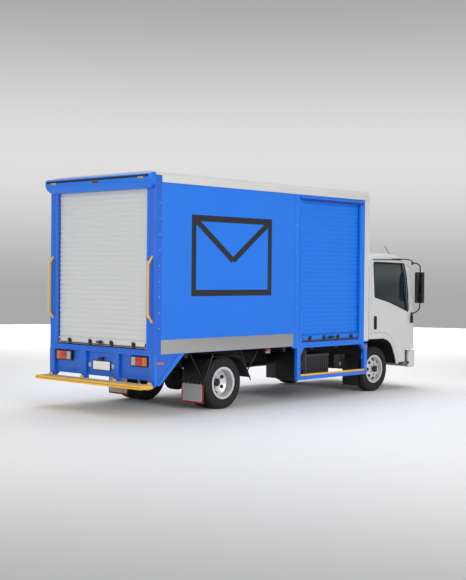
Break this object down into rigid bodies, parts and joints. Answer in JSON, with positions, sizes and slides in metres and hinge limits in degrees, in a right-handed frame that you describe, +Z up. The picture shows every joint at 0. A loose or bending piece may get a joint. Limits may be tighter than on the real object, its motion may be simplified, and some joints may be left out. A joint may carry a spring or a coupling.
{
  "type": "mail delivery truck",
  "caption": "Light cab-over delivery truck with a box body, roller shutters at the rear and kerb side, rear step, grab rails, tilting cab and steerable front wheels",
  "frame": {"origin": "centre of the bounding box in plan, on the ground under the tyres", "axes": "+X forward along the truck, +Y to the left of the driver, +Z up"},
  "size_m": [6.52, 2.352, 3.254],
  "materials": {
    "chassis_black": "black chassis paint, satin, road dust in the corners",
    "engine_metal": "bare cast engine and gearbox, dull",
    "black_plastic": "moulded black plastic, fine grain",
    "tyre": "black tread and sidewall rubber",
    "rim_silver": "silver painted pressed steel rim",
    "body_blue": "bright blue coach paint on folded steel",
    "panel_blue": "bright blue painted composite body panel",
    "shutter_silver": "light grey coated aluminium slats",
    "shutter_blue": "bright blue coated aluminium slats",
    "roof_grey": "pale grey roof skin with aluminium edge rails",
    "floor_wood": "resin coated plywood deck on steel bearers",
    "safety_yellow": "safety yellow enamel with anti-slip top",
    "drum_steel": "galvanised roller drum",
    "latch_metal": "bronze-tinted plated steel latch",
    "lamp_red": "amber, red and clear lens in three chambers",
    "lamp_clear": "clear headlamp lens over a bright reflector",
    "cab_white": "white two-pack paint over pressed cab panels",
    "glass": "lightly tinted safety glass",
    "seat_fabric": "dark grey woven seat cloth"
  },
  "bodies": {
    "root": {"chassis_frame": "chassis_black", "rear_axle": "chassis_black", "front_axle": "chassis_black", "engine_gearbox": "engine_metal", "fuel_tank": "chassis_black", "battery_box": "black_plastic", "cargo_floor": "floor_wood", "roof_panel": "roof_grey", "right_side_wall": "panel_blue", "left_side_wall": "panel_blue", "front_wall": "panel_blue", "rear_frame": "body_blue", "rear_hood": "body_blue", "step_bumper": "safety_yellow", "front_bumper": "cab_white", "rear_shutter_curtain": "shutter_silver", "side_shutter_curtain": "shutter_blue", "handrail_right": "safety_yellow", "tail_lamp_right": "lamp_red", "mudguard_right": "black_plastic", "handrail_left": "safety_yellow", "tail_lamp_left": "lamp_red", "mudguard_left": "black_plastic"},
    "propeller": {"propeller_shaft": "chassis_black"},
    "cab": {"cab_shell": "cab_white", "windscreen": "glass", "grille": "black_plastic", "headlamp_right": "lamp_clear", "headlamp_left": "lamp_clear", "dashboard": "black_plastic", "driver_seat": "seat_fabric", "passenger_seat": "seat_fabric"},
    "steering": {"steering_wheel": "black_plastic"},
    "antenna": {"antenna": "black_plastic"},
    "rear_shutter": {"rear_shutter_bar": "shutter_silver"},
    "rear_drum": {"rear_shutter_drum": "drum_steel"},
    "rear_latch": {"rear_shutter_handle": "latch_metal"},
    "side_shutter": {"side_shutter_bar": "shutter_blue"},
    "side_drum": {"side_shutter_drum": "drum_steel"},
    "side_latch": {"side_shutter_handle": "latch_metal"},
    "rear_wheel_right": {"rear_rims_right": "rim_silver", "rear_tyre_outer_right": "tyre", "rear_tyre_inner_right": "tyre"},
    "rear_wheel_left": {"rear_rims_left": "rim_silver", "rear_tyre_outer_left": "tyre", "rear_tyre_inner_left": "tyre"},
    "front_hub_right": {"front_hub_right": "chassis_black"},
    "front_wheel_right": {"front_rim_right": "rim_silver", "front_tyre_right": "tyre"},
    "front_hub_left": {"front_hub_left": "chassis_black"},
    "front_wheel_left": {"front_rim_left": "rim_silver", "front_tyre_left": "tyre"},
    "door_right": {"door_right": "cab_white"},
    "door_glass_right": {"door_glass_right": "glass"},
    "mirror_right": {"mirror_right": "black_plastic"},
    "door_left": {"door_left": "cab_white"},
    "door_glass_left": {"door_glass_left": "glass"},
    "mirror_left": {"mirror_left": "black_plastic"},
    "wiper_right": {"wiper_right": "black_plastic"},
    "wiper_left": {"wiper_left": "black_plastic"}
  },
  "joints": [
    {"name": "rear_wheel_right_spin", "type": "hinge", "parent": "root", "child": "rear_wheel_right", "pos_m": [-1.564, -0.78, 0.36584], "axis": [0, 1, 0], "continuous": true},
    {"name": "rear_wheel_left_spin", "type": "hinge", "parent": "root", "child": "rear_wheel_left", "pos_m": [-1.564, 0.78, 0.36584], "axis": [0, 1, 0], "continuous": true},
    {"name": "steer_right", "type": "hinge", "parent": "root", "child": "front_hub_right", "pos_m": [2.036, -0.7, 0.36584], "axis": [0, 0, 1], "range_deg": [-35, 35]},
    {"name": "steer_left", "type": "hinge", "parent": "root", "child": "front_hub_left", "pos_m": [2.036, 0.7, 0.36584], "axis": [0, 0, 1], "range_deg": [-35, 35]},
    {"name": "front_wheel_right_spin", "type": "hinge", "parent": "front_hub_right", "child": "front_wheel_right", "pos_m": [2.036, -0.87, 0.36584], "axis": [0, 1, 0], "continuous": true},
    {"name": "front_wheel_left_spin", "type": "hinge", "parent": "front_hub_left", "child": "front_wheel_left", "pos_m": [2.036, 0.87, 0.36584], "axis": [0, 1, 0], "continuous": true},
    {"name": "propeller_spin", "type": "hinge", "parent": "root", "child": "propeller", "pos_m": [-1.37, 0, 0.372], "axis": [0.9974, 0, 0.0726], "continuous": true},
    {"name": "cab_tilt", "type": "hinge", "parent": "root", "child": "cab", "pos_m": [3.215, 0, 0.64], "axis": [0, 1, 0], "range_deg": [0, 45]},
    {"name": "steering_wheel_turn", "type": "hinge", "parent": "cab", "child": "steering", "pos_m": [2.61, 0.45, 1.5], "axis": [-0.45, 0, 0.893], "range_deg": [-540, 540]},
    {"name": "door_right_swing", "type": "hinge", "parent": "cab", "child": "door_right", "pos_m": [2.97, -0.992, 1.2], "axis": [0, 0, 1], "range_deg": [0, 65]},
    {"name": "door_glass_right_drop", "type": "slide", "parent": "door_right", "child": "door_glass_right", "axis": [0, 0, -1], "range_m": [0, 0.42]},
    {"name": "mirror_right_fold", "type": "hinge", "parent": "cab", "child": "mirror_right", "pos_m": [3.01, -1.025, 1.6], "axis": [0, 0, 1], "range_deg": [-45, 8]},
    {"name": "door_left_swing", "type": "hinge", "parent": "cab", "child": "door_left", "pos_m": [2.97, 0.992, 1.2], "axis": [0, 0, -1], "range_deg": [0, 65]},
    {"name": "door_glass_left_drop", "type": "slide", "parent": "door_left", "child": "door_glass_left", "axis": [0, 0, -1], "range_m": [0, 0.42]},
    {"name": "mirror_left_fold", "type": "hinge", "parent": "cab", "child": "mirror_left", "pos_m": [3.01, 1.025, 1.6], "axis": [0, 0, -1], "range_deg": [-45, 8]},
    {"name": "wiper_right_sweep", "type": "hinge", "parent": "cab", "child": "wiper_right", "pos_m": [3.248, -0.56, 1.312], "axis": [0.9651, 0, 0.2617], "range_deg": [0, 92]},
    {"name": "wiper_left_sweep", "type": "hinge", "parent": "cab", "child": "wiper_left", "pos_m": [3.248, 0.06, 1.312], "axis": [0.9651, 0, 0.2617], "range_deg": [0, 92]},
    {"name": "antenna_fold", "type": "hinge", "parent": "cab", "child": "antenna", "pos_m": [2.68, -0.8, 2.247], "axis": [0, 1, 0], "range_deg": [-28, 45]},
    {"name": "rear_shutter_lift", "type": "slide", "parent": "root", "child": "rear_shutter", "axis": [0, 0, 1], "range_m": [0, 1.95], "deforming": ["rear_shutter_curtain"]},
    {"name": "rear_drum_wind", "type": "hinge", "parent": "root", "child": "rear_drum", "pos_m": [-2.85, 0, 3.06], "axis": [0, 1, 0], "range_deg": [0, 1118]},
    {"name": "rear_latch_turn", "type": "hinge", "parent": "rear_shutter", "child": "rear_latch", "pos_m": [-3.01, 0, 0.952], "axis": [-1, 0, 0], "range_deg": [0, 90]},
    {"name": "side_shutter_lift", "type": "slide", "parent": "root", "child": "side_shutter", "axis": [0, 0, 1], "range_m": [0, 1.95], "deforming": ["side_shutter_curtain"]},
    {"name": "side_drum_wind", "type": "hinge", "parent": "root", "child": "side_drum", "pos_m": [0.722, -0.94, 3.06], "axis": [-1, 0, 0], "range_deg": [0, 1118]},
    {"name": "side_latch_turn", "type": "hinge", "parent": "side_shutter", "child": "side_latch", "pos_m": [0.722, -1.09, 0.944], "axis": [0, -1, 0], "range_deg": [0, 90]}
  ],
  "couplings": [
    {"joint": "steer_left", "follows": "steer_right", "ratio": 1},
    {"joint": "steering_wheel_turn", "follows": "steer_right", "ratio": 15.4},
    {"joint": "wiper_left_sweep", "follows": "wiper_right_sweep", "ratio": 1},
    {"joint": "rear_drum_wind", "follows": "rear_shutter_lift", "rad_per_m": 10},
    {"joint": "side_drum_wind", "follows": "side_shutter_lift", "rad_per_m": 10}
  ]
}
